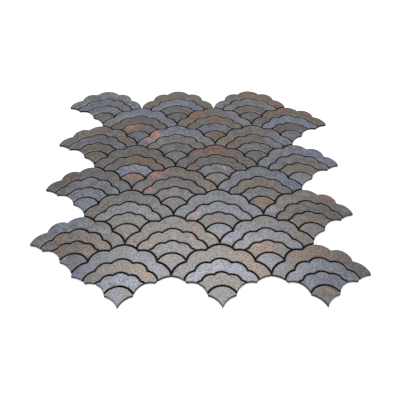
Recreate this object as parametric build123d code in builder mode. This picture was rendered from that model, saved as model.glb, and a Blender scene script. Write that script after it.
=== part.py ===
"""Peel-and-stick metal mosaic sheet.

Staggered rows of scalloped fans that lock into each other. Each fan is four thin metal chips, nested
like the ribs of a shell, and every chip is bonded to one adhesive backing with an open joint round it.
"""

import os

from build123d import *

# Field of fans, in millimetres: X runs along a row, Y from the front row to the back row
fan_pitch = 86.0
row_pitch = 32.0
fans_per_row = 3
row_count = 8

# Layers, and the strip by which the chips overhang the backing
backing_thickness = 0.5
chip_thickness = 2.5
backing_setback = 0.4

# Open joints, between fans and between the chips of a fan
fan_joint = 1.4
band_joint = 1.2

# Depth of the three scalloped bands, measured at the crown of a fan
outer_band = 14.5
second_band = 13.2
third_band = 13.0

# Lobes of each scalloped edge, from its crown outwards. The crown lobe has a radius. Each lobe beside it
# has the reach of its centre and its radius, as shares of half a pitch, and between them the drop of
# its centre below the crown, as a share of the row pitch.
outer_crown = 0.391
outer_lobes = [(0.396, 0.595, 0.310), (0.627, 1.058, 0.383)]
second_crown = 0.278
second_lobes = [(0.295, 0.439, 0.237), (0.487, 0.717, 0.255)]
third_crown = 0.207
third_lobes = [(0.204, 0.347, 0.202), (0.354, 0.522, 0.200)]
point_crown = 0.331

# Finish of each chip. A line is a row, front row first, and a word is a fan, from the left.
# Its letters are the outer, second, third and point chip: blue, brown or grey slate.
finishes = {"B": "blue", "U": "brown", "G": "grey"}
finish_rows = [
    "BUBB UBUG UBBU",
    "BUUB UUGU GBUB",
    "GBGG BBGB UGUG",
    "GBBB UGGG BUGU",
    "GUBU UUBG BGUB",
    "UBUG BGGB UUBU",
    "BUUB UUBU UBGB",
    "BBBG UBGG UBUG",
]

half_pitch = fan_pitch / 2
backing_inset = fan_joint / 2 + backing_setback

# Height of each edge's crown above the line through the fan's two tips
outer_height = row_pitch
second_height = outer_height - outer_band
third_height = second_height - second_band
point_height = third_height - third_band


def under_edge(height, crown, lobes, grow):
    """Everything below one scalloped edge of a fan, with the edge moved out by grow."""
    crown_radius = crown * half_pitch
    skirt = -row_pitch - 2 * fan_joint
    spine = [(0, height - crown_radius)]
    with BuildSketch() as region:
        with Locations(spine[0]):
            Circle(crown_radius + grow)
        for reach, drop, radius in lobes:
            centre = (reach * half_pitch, height - drop * row_pitch)
            spine.append(centre)
            with Locations(centre, (-centre[0], centre[1])):
                Circle(radius * half_pitch + grow)
        if lobes:
            right_side = spine + [(half_pitch, skirt)]
            left_side = [(-x, y) for x, y in reversed(right_side[1:])]
            with BuildLine():
                Polyline(*right_side, *left_side, close=True)
            make_face()
    return region.sketch


def outer_edge(grow):
    return under_edge(outer_height, outer_crown, outer_lobes, grow)


def whole_fan(grow):
    """Outline of a fan: its own outer edge above, and the outer edges of the next row's fans below."""
    with BuildSketch() as outline:
        add(outer_edge(grow))
        Rectangle(fan_pitch + 2 * grow, 4 * row_pitch, mode=Mode.INTERSECT)
        with Locations((-half_pitch, -row_pitch), (half_pitch, -row_pitch)):
            add(outer_edge(-grow), mode=Mode.SUBTRACT)
    return outline.sketch


# The four chips of a fan, each between two scalloped edges
fan = whole_fan(-fan_joint / 2)
chip_edges = [
    ("outer", outer_height, outer_crown, outer_lobes),
    ("second", second_height, second_crown, second_lobes),
    ("third", third_height, third_crown, third_lobes),
    ("point", point_height, point_crown, []),
]
chip_profiles = {}
for place, (band, *edge) in enumerate(chip_edges):
    with BuildSketch() as profile:
        add(fan)
        add(under_edge(*edge, -band_joint / 2), mode=Mode.INTERSECT)
        for _, *inner_edge in chip_edges[place + 1 : place + 2]:
            add(under_edge(*inner_edge, band_joint / 2), mode=Mode.SUBTRACT)
    chip_profiles[band] = profile.sketch

# Places of the fans, with the sheet centred on the origin
fan_box = fan.bounding_box()
front_tip_line = -((row_count - 1) * row_pitch + fan_box.min.Y + fan_box.max.Y) / 2


def fan_place(row, column):
    """Midpoint between a fan's two tips: rows are staggered by half a pitch, the front row to the right."""
    stagger = fan_pitch / 4 if row % 2 == 0 else -fan_pitch / 4
    return (column - (fans_per_row - 1) / 2) * fan_pitch + stagger, front_tip_line + row * row_pitch


fans = [(row, column) for row in range(row_count) for column in range(fans_per_row)]
field = [(row, column) for row in range(-2, row_count) for column in range(-1, fans_per_row + 1)]
neighbours = [cell for cell in field if cell not in fans]

os.makedirs("parts", exist_ok=True)

# Adhesive backing: one film under all the fans, notched where the neighbouring sheets lock in
with BuildPart() as backing:
    with BuildSketch():
        with Locations([fan_place(*cell) for cell in fans]):
            add(outer_edge(-backing_inset))
        with Locations([fan_place(*cell) for cell in neighbours]):
            add(whole_fan(backing_inset), mode=Mode.SUBTRACT)
    extrude(amount=backing_thickness)

backing.part.label = "adhesive_backing"
export_step(backing.part, "parts/adhesive_backing.step")

# Chips: those of one shape and one finish are a group
chip_places = {}
for row, column in fans:
    words = finish_rows[row % len(finish_rows)].split()
    word = words[column % len(words)]
    for band, letter in zip(chip_profiles, word):
        chip_places.setdefault((band, letter), []).append(fan_place(row, column))

for (band, letter), places in sorted(chip_places.items()):
    with BuildPart() as chips:
        with BuildSketch(Plane.XY.offset(backing_thickness)):
            with Locations(places):
                add(chip_profiles[band])
        extrude(amount=chip_thickness)

    chips.part.label = f"{band}_chips_{finishes[letter]}"
    export_step(chips.part, f"parts/{chips.part.label}.step")
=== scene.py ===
"""Looks of a peel-and-stick metal mosaic sheet: scalloped slate-print chips on a black adhesive film."""
import math

import bpy
from mathutils import Matrix


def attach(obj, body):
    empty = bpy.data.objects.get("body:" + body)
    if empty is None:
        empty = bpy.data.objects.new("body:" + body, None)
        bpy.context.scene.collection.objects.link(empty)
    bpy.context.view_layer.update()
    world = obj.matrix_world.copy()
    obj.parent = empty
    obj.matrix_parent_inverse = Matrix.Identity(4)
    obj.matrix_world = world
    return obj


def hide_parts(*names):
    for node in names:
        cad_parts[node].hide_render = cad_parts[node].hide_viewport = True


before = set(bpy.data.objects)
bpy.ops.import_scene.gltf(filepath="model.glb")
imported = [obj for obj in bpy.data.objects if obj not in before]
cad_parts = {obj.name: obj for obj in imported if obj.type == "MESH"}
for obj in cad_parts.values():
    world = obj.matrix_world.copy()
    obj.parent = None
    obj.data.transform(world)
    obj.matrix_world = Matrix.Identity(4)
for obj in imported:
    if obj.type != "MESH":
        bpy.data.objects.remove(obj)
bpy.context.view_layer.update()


# Adhesive backing: one black film with a tacky coat, cut to the outline of the whole sheet.
# It carries every chip, closes the open joints from below and is what sticks to the wall.
film_black = (0.004, 0.004, 0.004, 1)
film_worn = (0.009, 0.009, 0.010, 1)
film_roughness = (0.55, 0.75)
film_gloss = 0.15
film_cloud_size = 0.020
film_worn_span = (0.4, 0.7)
film_ripple_size = 0.0015
film_ripple_strength = 0.25

# Span that most values of a noise lie in, and how deep a fine relief is
noise_span = (0.3, 0.7)
relief_depth = 0.0002


def add_node(tree, kind, settings=None, inputs=None):
    """Adds a node, sets its properties, and fills its inputs with values or with other nodes' sockets."""
    made = tree.nodes.new(kind)
    for name, value in (settings or {}).items():
        setattr(made, name, value)
    for name, value in (inputs or {}).items():
        usable = [s for s in made.inputs if s.enabled]
        socket = usable[name] if isinstance(name, int) else next(s for s in usable if s.name == name)
        if isinstance(value, bpy.types.NodeSocket):
            tree.links.new(value, socket)
        else:
            socket.default_value = value
    return made


def out(made, name=None):
    """The first usable output of a node, or the one of that name."""
    return next(s for s in made.outputs if s.enabled and name in (None, s.name))


def cloud_noise(tree, place, size, detail=2.0, roughness=0.5):
    """Soft noise with features of about that size, in metres."""
    return out(add_node(tree, "ShaderNodeTexNoise", None, {
        "Vector": place, "Scale": 1 / size, "Detail": detail, "Roughness": roughness}))


def ramp(tree, value, span, result=(0.0, 1.0)):
    """Carries a value from its span to the span of the result, with soft ends."""
    return out(add_node(tree, "ShaderNodeMapRange", {"interpolation_type": "SMOOTHSTEP"}, {
        "Value": value, "From Min": span[0], "From Max": span[1],
        "To Min": result[0], "To Max": result[1]}))


def mix_colour(tree, share, first, second):
    return out(add_node(tree, "ShaderNodeMix", {"data_type": "RGBA"}, {
        "Factor": share, "A": first, "B": second}))


def surface(name):
    """A new material with its node tree and its shader, which the caller fills in."""
    made = bpy.data.materials.new(name)
    made.use_nodes = True
    return made, made.node_tree, made.node_tree.nodes["Principled BSDF"]


def add_relief(tree, shader, height, strength):
    """Gives a surface a fine relief that follows a noise."""
    relief = add_node(tree, "ShaderNodeBump", None, {
        "Strength": strength, "Distance": relief_depth, "Height": height})
    tree.links.new(relief.outputs["Normal"], shader.inputs["Normal"])


film, tree, shader = surface("adhesive_film")
place = out(add_node(tree, "ShaderNodeTexCoord"), "Object")
film_cloud = cloud_noise(tree, place, film_cloud_size, detail=3.0)
film_ripple = cloud_noise(tree, place, film_ripple_size)
film_colour = mix_colour(tree, ramp(tree, film_cloud, film_worn_span), film_black, film_worn)
tree.links.new(film_colour, shader.inputs["Base Color"])
tree.links.new(ramp(tree, film_cloud, noise_span, film_roughness), shader.inputs["Roughness"])
shader.inputs["Specular IOR Level"].default_value = film_gloss
add_relief(tree, shader, film_ripple, film_ripple_strength)

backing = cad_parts["adhesive_backing"]
backing.data.materials.clear()
backing.data.materials.append(film)


# Chips: thin metal blanks punched out of printed sheets, so the face is a satin slate print, its rim is
# rolled over by the punch, and the cut edge is dark. Every chip comes from another spot of the print.
rim = 0.00055
sheet_top = 0.003
print_sheet = 0.8
chip_reach = 0.043
drift_amount = 0.15
wander_amount = 0.10
tone_spread = 0.12

# Tints of the print from its coolest to its warmest, and where each finish lies between them
slate_tints = [
    (0.00, (0.119, 0.132, 0.184, 1)),
    (0.27, (0.143, 0.150, 0.168, 1)),
    (0.50, (0.117, 0.114, 0.111, 1)),
    (0.73, (0.129, 0.112, 0.097, 1)),
    (1.00, (0.166, 0.103, 0.071, 1)),
]
finish_warmth = {"blue": 0.27, "grey": 0.54, "brown": 0.69}

# Clouds that warm or cool the tint, mottling and slanted grain that lighten or darken it, and fine dots
cloud_size = 0.014
cloud_warmth = (-0.12, 0.12)
mottle_size = 0.0065
mottle_light = (0.90, 1.10)
slant_turn = math.radians(-30)
slant_stretch = (1.8, 1.0, 1.0)
grain_size = 0.0010
grain_light = (0.44, 1.56)
grain_relief = 0.08
dot_size = 0.0014
dot_blue = (0.122, 0.183, 0.390, 1)
dot_blue_span = (0.60, 0.72)
dot_orange = (0.342, 0.153, 0.079, 1)
dot_orange_span = (0.62, 0.74)
dot_strength = (0.0, 0.34)

# Sheen of the print, tinted in part by the metal under it
metal_share = 0.18
print_gloss = 0.335
print_roughness = (0.29, 0.35)

# Patches where the print turns warmer or cooler, listed one by one: band and finish of the chip, then the
# middle of the patch, its length, width and turn, in millimetres and degrees, and the change of tint
tint_patches = [
    ("outer", "blue", -100, -107, 14, 10, 0, -0.15),
    ("outer", "blue", -121, -62, 40, 14, 35, -0.20),
    ("outer", "blue", 96, -1, 40, 16, -45, -0.25),
    ("outer", "blue", 142, 23, 18, 16, 0, -0.20),
    ("outer", "blue", -63, 105, 40, 14, 0, -0.20),
    ("outer", "blue", -29, 87, 14, 14, 0, 0.40),
    ("outer", "brown", 102, -90, 32, 12, 0, 0.16),
    ("outer", "brown", 72, -107, 18, 14, 0, -0.35),
    ("outer", "brown", 51, -102, 18, 12, -50, 0.06),
    ("outer", "brown", -56, -75, 16, 14, 0, 0.15),
    ("outer", "brown", 129, -29, 34, 14, -35, 0.20),
    ("outer", "brown", 72, -41, 16, 14, 0, -0.40),
    ("outer", "brown", -56, -9, 16, 14, 0, -0.40),
    ("outer", "brown", 17, 40, 38, 14, 0, 0.28),
    ("outer", "brown", -14, 23, 16, 14, 0, -0.40),
    ("outer", "brown", -128, 63, 20, 12, 35, 0.15),
    ("outer", "brown", 96, 56, 30, 16, -40, -0.35),
    ("outer", "brown", 1, 99, 42, 16, 35, 0.30),
    ("outer", "brown", 52, 93, 36, 18, -40, -0.35),
    ("outer", "brown", 109, 108, 36, 12, 0, 0.15),
    ("outer", "brown", -48, 127, 26, 16, 40, 0.15),
    ("outer", "brown", 33, 121, 30, 14, 40, -0.35),
    ("outer", "brown", 67, 135, 34, 12, 0, 0.13),
    ("outer", "brown", 99, 119, 16, 14, 0, 0.15),
    ("outer", "grey", 31, -73, 20, 14, 0, -0.30),
    ("outer", "grey", 99, -72, 22, 14, -40, 0.18),
    ("outer", "grey", -128, -1, 22, 12, 35, 0.15),
    ("outer", "grey", -81, 38, 44, 16, 25, -0.22),
    ("second", "brown", -48, -105, 30, 14, -45, 0.12),
    ("second", "brown", -123, -73, 22, 12, 35, 0.19),
    ("second", "brown", -86, -73, 22, 12, -35, 0.17),
    ("second", "brown", -46, -80, 16, 12, 0, 0.12),
    ("second", "brown", -54, 23, 26, 12, -20, 0.25),
    ("second", "brown", 87, 50, 22, 12, -30, -0.40),
    ("second", "brown", 21, 89, 50, 14, 0, 0.25),
    ("second", "blue", 109, -103, 30, 14, 0, -0.25),
    ("second", "grey", 87, -43, 18, 12, 0, 0.20),
    ("second", "grey", -39, 53, 18, 12, 0, -0.30),
    ("third", "brown", 32, -120, 11, 9, 0, 0.20),
    ("third", "brown", 57, -85, 30, 12, 0, 0.14),
    ("third", "brown", 65, 109, 26, 12, 0, 0.15),
    ("point", "brown", 111, -128, 12, 8, 0, 0.20),
    ("point", "brown", 65, -34, 14, 10, 0, 0.20),
    ("point", "brown", -64, 0, 14, 10, 0, 0.25),
]

# Rust stains, listed in the same way, with their strength. They break up into slanted streaks.
rust_stains = [
    ("outer", "blue", -48, 61, 21, 12, 45, 0.9),
    ("outer", "blue", 97, 38, 12, 6, 0, 0.3),
    ("outer", "blue", -96, 133, 9, 6, -30, 0.35),
    ("outer", "brown", -39, 4, 20, 11, 45, 0.4),
    ("second", "blue", -1, -47, 10, 7, 0, 0.4),
    ("second", "grey", -47, -17, 12, 9, 30, 0.35),
    ("third", "brown", -74, 77, 18, 10, 30, 0.6),
    ("third", "blue", 29, 13, 12, 3, -55, 0.6),
    ("third", "blue", 29, 77, 9, 5, -20, 0.35),
    ("point", "brown", -64, -1, 12, 8, 0, 0.2),
]
rust_orange = (0.488, 0.177, 0.085, 1)
streak_size = 0.0022
streak_span = (0.38, 0.58)

# How far a patch or stain reaches, in metres for each millimetre of its size, and how it fades
patch_reach = 0.0007
patch_height = 0.01
patch_fade = (0.0, 0.6)
mm_per_metre = 1000

# Cut edge of a chip
edge_dark = (0.004, 0.004, 0.004, 1)
edge_worn = (0.010, 0.010, 0.009, 1)
edge_roughness = 0.6
edge_gloss = 0.15


def maths(tree, operation, first, second):
    return out(add_node(tree, "ShaderNodeMath", {"operation": operation}, {0: first, 1: second}))


def scaled(tree, colour, share):
    return out(add_node(tree, "ShaderNodeVectorMath", {"operation": "SCALE"}, {0: colour, "Scale": share}))


def attribute(tree, name, output):
    return out(add_node(tree, "ShaderNodeAttribute", {"attribute_name": name}), output)


def slate_print(band, finish):
    """Satin stone print whose tint drifts over the chip, with mottling, grain, dots and rust stains."""
    made, tree, shader = surface(f"{band}_{finish}_print")
    object_place = out(add_node(tree, "ShaderNodeTexCoord"), "Object")

    def patch(x, y, length, width, turn, amount):
        """The amount in the middle of a patch, fading to none at its edge."""
        near = out(add_node(tree, "ShaderNodeMapping", {"vector_type": "TEXTURE"}, {
            "Vector": object_place,
            "Location": (x / mm_per_metre, y / mm_per_metre, sheet_top),
            "Rotation": (0, 0, math.radians(turn)),
            "Scale": (length * patch_reach, width * patch_reach, patch_height)}))
        fade = add_node(tree, "ShaderNodeTexGradient", {"gradient_type": "SPHERICAL"}, {"Vector": near})
        return ramp(tree, fade.outputs["Fac"], patch_fade, (0.0, amount))

    place = attribute(tree, "print_place", "Vector")
    slant = out(add_node(tree, "ShaderNodeMapping", {"vector_type": "TEXTURE"}, {
        "Vector": place, "Rotation": (0, 0, slant_turn), "Scale": slant_stretch}))

    clouds = ramp(tree, cloud_noise(tree, place, cloud_size), noise_span, cloud_warmth)
    warmth = maths(tree, "ADD", attribute(tree, "drift", "Fac"), clouds)
    warmth = maths(tree, "ADD", warmth, finish_warmth[finish])
    for patch_band, patch_finish, *spread in tint_patches:
        if (patch_band, patch_finish) == (band, finish):
            warmth = maths(tree, "ADD", warmth, patch(*spread))
    tints = add_node(tree, "ShaderNodeValToRGB", None, {"Fac": warmth})
    for position, _ in slate_tints[1:-1]:
        tints.color_ramp.elements.new(position)
    for stop, (position, tint) in zip(tints.color_ramp.elements, slate_tints):
        stop.position = position
        stop.color = tint
    colour = tints.outputs["Color"]

    streaks = ramp(tree, cloud_noise(tree, slant, streak_size, roughness=0.6), streak_span)
    for stain_band, stain_finish, *spread in rust_stains:
        if (stain_band, stain_finish) == (band, finish):
            stain = maths(tree, "MULTIPLY", patch(*spread), streaks)
            colour = mix_colour(tree, stain, colour, rust_orange)

    blue_dots = cloud_noise(tree, place, dot_size, detail=1.0)
    colour = mix_colour(tree, ramp(tree, blue_dots, dot_blue_span, dot_strength), colour, dot_blue)
    orange_dots = cloud_noise(tree, slant, dot_size, detail=1.0)
    colour = mix_colour(tree, ramp(tree, orange_dots, dot_orange_span, dot_strength), colour, dot_orange)

    mottle = cloud_noise(tree, place, mottle_size, detail=3.0)
    grain = cloud_noise(tree, slant, grain_size, roughness=0.8)
    tone = attribute(tree, "tone", "Fac")
    light = maths(tree, "MULTIPLY", ramp(tree, mottle, noise_span, mottle_light), tone)
    light = maths(tree, "MULTIPLY", light, ramp(tree, grain, noise_span, grain_light))
    tree.links.new(scaled(tree, colour, light), shader.inputs["Base Color"])
    tree.links.new(ramp(tree, mottle, noise_span, print_roughness), shader.inputs["Roughness"])
    shader.inputs["Metallic"].default_value = metal_share
    shader.inputs["Specular IOR Level"].default_value = print_gloss
    add_relief(tree, shader, grain, grain_relief)
    return made


edge_material, tree, shader = surface("chip_edge")
place = out(add_node(tree, "ShaderNodeTexCoord"), "Object")
edge_marks = ramp(tree, cloud_noise(tree, place, mottle_size), noise_span)
tree.links.new(mix_colour(tree, edge_marks, edge_dark, edge_worn), shader.inputs["Base Color"])
shader.inputs["Roughness"].default_value = edge_roughness
shader.inputs["Specular IOR Level"].default_value = edge_gloss

# The tree rolls the upper rim of every chip over, and draws the chip's spot of the print by its place
knob_kinds = {
    "Chips": "Geometry",
    "Rim": "Float",
    "Print sheet": "Float",
    "Chip reach": "Float",
    "Drift": "Float",
    "Wander": "Float",
    "Tone spread": "Float",
    "Seed": "Int",
    "Print": "Material",
    "Edge": "Material",
}
rolled_chips = bpy.data.node_groups.new("rolled_chips", "GeometryNodeTree")
knob = {}
for label, kind in knob_kinds.items():
    knob[label] = rolled_chips.interface.new_socket(
        label, in_out="INPUT", socket_type=f"NodeSocket{kind}").identifier
rolled_chips.interface.new_socket("Chips", in_out="OUTPUT", socket_type="NodeSocketGeometry")
given = rolled_chips.nodes.new("NodeGroupInput")


def compared(value, operation, limit):
    comparing = {"data_type": "FLOAT", "operation": operation}
    return out(add_node(rolled_chips, "FunctionNodeCompare", comparing, {"A": value, "B": limit}))


def vector_maths(operation, first, second):
    return out(add_node(rolled_chips, "ShaderNodeVectorMath", {"operation": operation}, {
        0: first, 1: second}))


def axis_parts(vector):
    return add_node(rolled_chips, "ShaderNodeSeparateXYZ", None, {0: vector})


# Blanks with their corners joined, which keep the way each corner points out of the chip and up
merge_distance = 1e-6
blanks = out(add_node(rolled_chips, "GeometryNodeMergeByDistance", None, {
    "Geometry": out(given, "Chips"), "Distance": merge_distance}))
normal = out(add_node(rolled_chips, "GeometryNodeInputNormal"), "Normal")
position = out(add_node(rolled_chips, "GeometryNodeInputPosition"))
upward = axis_parts(normal).outputs["Z"]
level = vector_maths("MULTIPLY", normal, (1, 1, 0))
outward = out(add_node(rolled_chips, "ShaderNodeVectorMath", {"operation": "NORMALIZE"}, {0: level}))
kept = rolled_chips.nodes.new("GeometryNodeCaptureAttribute")
kept.domain = "POINT"
kept.capture_items.new("VECTOR", "Outward")
kept.capture_items.new("FLOAT", "Upward")
rolled_chips.links.new(blanks, kept.inputs["Geometry"])
rolled_chips.links.new(outward, kept.inputs["Outward"])
rolled_chips.links.new(upward, kept.inputs["Upward"])


def lifted(geometry, faces):
    """Doubles the rim of those faces, so that the new rim can move on its own."""
    return add_node(rolled_chips, "GeometryNodeExtrudeMesh", {"mode": "FACES"}, {
        "Mesh": geometry, "Selection": faces, "Offset Scale": 0.0, "Individual": False})


def moved(geometry, corners, outward_share, upward_share):
    """Moves corners by shares of the rim: out of the chip, and up."""
    across = scaled(rolled_chips, kept.outputs["Outward"], outward_share)
    shift = vector_maths("ADD", across, (0, 0, upward_share))
    return out(add_node(rolled_chips, "GeometryNodeSetPosition", None, {
        "Geometry": geometry, "Selection": corners,
        "Offset": scaled(rolled_chips, shift, out(given, "Rim"))}))


# The rim is a quarter round in two steps, with its shoulder halfway
face_tilt = 0.5
shoulder = 1 - math.cos(math.pi / 4)
first_lift = lifted(kept.outputs["Geometry"], compared(upward, "GREATER_THAN", face_tilt))
first_top = first_lift.outputs["Top"]
is_rim = out(add_node(rolled_chips, "FunctionNodeBooleanMath", {"operation": "NIMPLY"}, {
    0: compared(kept.outputs["Upward"], "GREATER_THAN", 0.0), 1: first_top}))
rolled = moved(first_lift.outputs["Mesh"], is_rim, 0.0, -1.0)
rolled = moved(rolled, first_top, -shoulder, -shoulder)
second_lift = lifted(rolled, first_top)
rolled = moved(second_lift.outputs["Mesh"], second_lift.outputs["Top"], shoulder - 1, shoulder)

# Middle of each chip, and a number of its own from the row and the quarter of a pitch that it lies in
row_step = 0.032
column_step = 0.0215
numbers_per_row = 100
island = add_node(rolled_chips, "GeometryNodeInputMeshIsland").outputs["Island Index"]
place_sum = out(add_node(rolled_chips, "GeometryNodeAccumulateField", {"data_type": "FLOAT_VECTOR"}, {
    "Value": position, "Group ID": island}), "Total")
corner_sum = out(add_node(rolled_chips, "GeometryNodeAccumulateField", {"data_type": "FLOAT"}, {
    "Value": 1.0, "Group ID": island}), "Total")
corner_share = maths(rolled_chips, "DIVIDE", 1.0, corner_sum)
middle = axis_parts(scaled(rolled_chips, place_sum, corner_share))


def whole_maths(operation, first, second):
    return out(add_node(rolled_chips, "FunctionNodeIntegerMath", {"operation": operation}, {
        0: first, 1: second}))


def whole_number(value, step):
    """The number of steps in a value, rounded."""
    return out(add_node(rolled_chips, "FunctionNodeFloatToInt", {"rounding_mode": "ROUND"}, {
        0: maths(rolled_chips, "DIVIDE", value, step)}))


row_start = whole_maths("MULTIPLY", whole_number(middle.outputs["Y"], row_step), numbers_per_row)
own_number = whole_maths("ADD", row_start, whole_number(middle.outputs["X"], column_step))

# Spot of the print, drift of its tint and tone, drawn for each chip and stored on it
seeds_per_draw = 1000


def drawn(kind, low, high, turn):
    """A random value for each chip: turn tells one draw of a chip from the next."""
    seed = whole_maths("ADD", out(given, "Seed"), turn * seeds_per_draw)
    return out(add_node(rolled_chips, "FunctionNodeRandomValue", {"data_type": kind}, {
        "Min": low, "Max": high, "ID": own_number, "Seed": seed}))


def drawn_up_to(knob_label, turn):
    """A random value for each chip, up to what a knob says, either way."""
    return maths(rolled_chips, "MULTIPLY", drawn("FLOAT", -1.0, 1.0, turn), out(given, knob_label))


def stored(geometry, kind, name, value):
    storing = {"data_type": kind, "domain": "POINT"}
    return out(add_node(rolled_chips, "GeometryNodeStoreNamedAttribute", storing, {
        "Geometry": geometry, "Name": name, "Value": value}))


spot = scaled(rolled_chips, drawn("FLOAT_VECTOR", (0, 0, 0), (1, 1, 1), 0), out(given, "Print sheet"))
along = maths(rolled_chips, "SUBTRACT", axis_parts(position).outputs["X"], middle.outputs["X"])
along = maths(rolled_chips, "DIVIDE", along, out(given, "Chip reach"))
slope = drawn_up_to("Drift", 1)
wander = drawn_up_to("Wander", 2)
drift = maths(rolled_chips, "ADD", maths(rolled_chips, "MULTIPLY", along, slope), wander)
tone = drawn_up_to("Tone spread", 3)
printed = stored(rolled, "FLOAT_VECTOR", "print_place", vector_maths("ADD", position, spot))
printed = stored(printed, "FLOAT", "drift", drift)
printed = stored(printed, "FLOAT", "tone", maths(rolled_chips, "ADD", tone, 1.0))

# Shading that is smooth but for sharp bends, and the dark edge on every side that doesn't face up
sharp_bend = math.radians(15)
edge_tilt = 0.3
bend = add_node(rolled_chips, "GeometryNodeInputMeshEdgeAngle").outputs["Unsigned Angle"]
smooth = out(add_node(rolled_chips, "GeometryNodeSetShadeSmooth", {"domain": "FACE"}, {
    "Geometry": printed, "Shade Smooth": True}))
smooth = out(add_node(rolled_chips, "GeometryNodeSetShadeSmooth", {"domain": "EDGE"}, {
    "Geometry": smooth, "Selection": compared(bend, "GREATER_THAN", sharp_bend), "Shade Smooth": False}))
whole = out(add_node(rolled_chips, "GeometryNodeRealizeInstances", None, {"Geometry": smooth}))
whole = out(add_node(rolled_chips, "GeometryNodeSetMaterial", None, {
    "Geometry": whole, "Material": out(given, "Print")}))
whole = out(add_node(rolled_chips, "GeometryNodeSetMaterial", None, {
    "Geometry": whole, "Selection": compared(upward, "LESS_THAN", edge_tilt),
    "Material": out(given, "Edge")}))
add_node(rolled_chips, "NodeGroupOutput", None, {"Chips": whole})

# One piece for the chips of one band and one finish, each with a seed of its own
print_seeds = {
    "outer": {"blue": 1, "brown": 2, "grey": 3},
    "second": {"blue": 4, "brown": 5, "grey": 6},
    "third": {"blue": 7, "brown": 8, "grey": 9},
    "point": {"blue": 10, "brown": 11, "grey": 12},
}
for band, seeds in print_seeds.items():
    for finish, seed in seeds.items():
        name = f"{band}_chips_{finish}"
        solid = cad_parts[name].data
        blank = bpy.data.meshes.new(f"{name}_blank")
        blank.from_pydata([v.co for v in solid.vertices], [], [p.vertices for p in solid.polygons])
        piece = bpy.data.objects.new(f"{band}_slates_{finish}", blank)
        bpy.context.scene.collection.objects.link(piece)
        rolling = piece.modifiers.new("rolled", "NODES")
        rolling.node_group = rolled_chips
        rolling[knob["Rim"]] = rim
        rolling[knob["Print sheet"]] = print_sheet
        rolling[knob["Chip reach"]] = chip_reach
        rolling[knob["Drift"]] = drift_amount
        rolling[knob["Wander"]] = wander_amount
        rolling[knob["Tone spread"]] = tone_spread
        rolling[knob["Seed"]] = seed
        rolling[knob["Print"]] = slate_print(band, finish)
        rolling[knob["Edge"]] = edge_material
        made = piece.evaluated_get(bpy.context.evaluated_depsgraph_get())
        mesh = bpy.data.meshes.new_from_object(made)
        piece.modifiers.remove(rolling)
        piece.data = mesh
        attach(piece, "root")
        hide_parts(name)


# Studio: a round white floor that the sheet lies on, which takes its soft shadow, and a low white wall
# about it. Both are painted one matt white, and glow where they are seen, so that the ground stays white.
studio_radius = 2.2
wall_height = 1.2
wall_steps = 64
studio_white = (0.80, 0.80, 0.80, 1)
studio_roughness = 0.9
glow_white = (1, 1, 1, 1)
studio_glow = 0.50

ring = [(studio_radius * math.cos(2 * math.pi * step / wall_steps),
         studio_radius * math.sin(2 * math.pi * step / wall_steps)) for step in range(wall_steps)]
floor_face = list(range(wall_steps))
wall_faces = [(step, (step + 1) % wall_steps, wall_steps + (step + 1) % wall_steps, wall_steps + step)
              for step in range(wall_steps)]
studio_mesh = bpy.data.meshes.new("studio")
studio_mesh.from_pydata([(x, y, 0) for x, y in ring] + [(x, y, wall_height) for x, y in ring], [],
                        [floor_face] + wall_faces)
studio = bpy.data.objects.new("studio", studio_mesh)
bpy.context.scene.collection.objects.link(studio)
studio_paint, tree, shader = surface("studio_paint")
shader.inputs["Base Color"].default_value = studio_white
shader.inputs["Roughness"].default_value = studio_roughness
shader.inputs["Specular IOR Level"].default_value = 0.0
rays = add_node(tree, "ShaderNodeLightPath")
seen = maths(tree, "MAXIMUM", rays.outputs["Is Camera Ray"], rays.outputs["Is Glossy Ray"])
seen = maths(tree, "MAXIMUM", seen, rays.outputs["Is Transmission Ray"])
shader.inputs["Emission Color"].default_value = glow_white
tree.links.new(maths(tree, "MULTIPLY", seen, studio_glow), shader.inputs["Emission Strength"])
studio_mesh.materials.append(studio_paint)


# Light: a large soft box that hangs behind and above the sheet and faces down, in a dim white room.
# Its sheen is broad and falls on the front rows.
room_light = 0.20
room_white = (1, 1, 1, 1)
lamp_power = 17.6
lamp_size = 0.80
lamp_place = (0.010, 0.382, 1.192)

world = bpy.data.worlds.new("room")
bpy.context.scene.world = world
world.use_nodes = True
room = world.node_tree.nodes["Background"]
room.inputs["Color"].default_value = room_white
room.inputs["Strength"].default_value = room_light

lamp_data = bpy.data.lights.new("soft_box", "AREA")
lamp_data.energy = lamp_power
lamp_data.size = lamp_size
lamp = bpy.data.objects.new("soft_box", lamp_data)
bpy.context.scene.collection.objects.link(lamp)
lamp.location = lamp_place


# Camera: in front of the sheet and above it, at the photograph's angle.
# It looks down just in front of the sheet's middle, with a slight turn and roll.
camera_place = (0.0009, -0.2752, 0.3122)
camera_lens = 36.25
sensor_width = 36.0
nearest_seen = 0.01
look_down = math.radians(51.70)
turn = math.radians(-0.70)
roll = math.radians(0.22)

camera_data = bpy.data.cameras.new("camera")
camera_data.lens = camera_lens
camera_data.sensor_width = sensor_width
camera_data.clip_start = nearest_seen
camera = bpy.data.objects.new("camera", camera_data)
bpy.context.scene.collection.objects.link(camera)
camera.matrix_world = (Matrix.Translation(camera_place) @ Matrix.Rotation(turn, 4, "Z")
                       @ Matrix.Rotation(math.pi / 2 - look_down, 4, "X") @ Matrix.Rotation(roll, 4, "Z"))
bpy.context.scene.camera = camera
bpy.context.scene.view_settings.view_transform = "Standard"
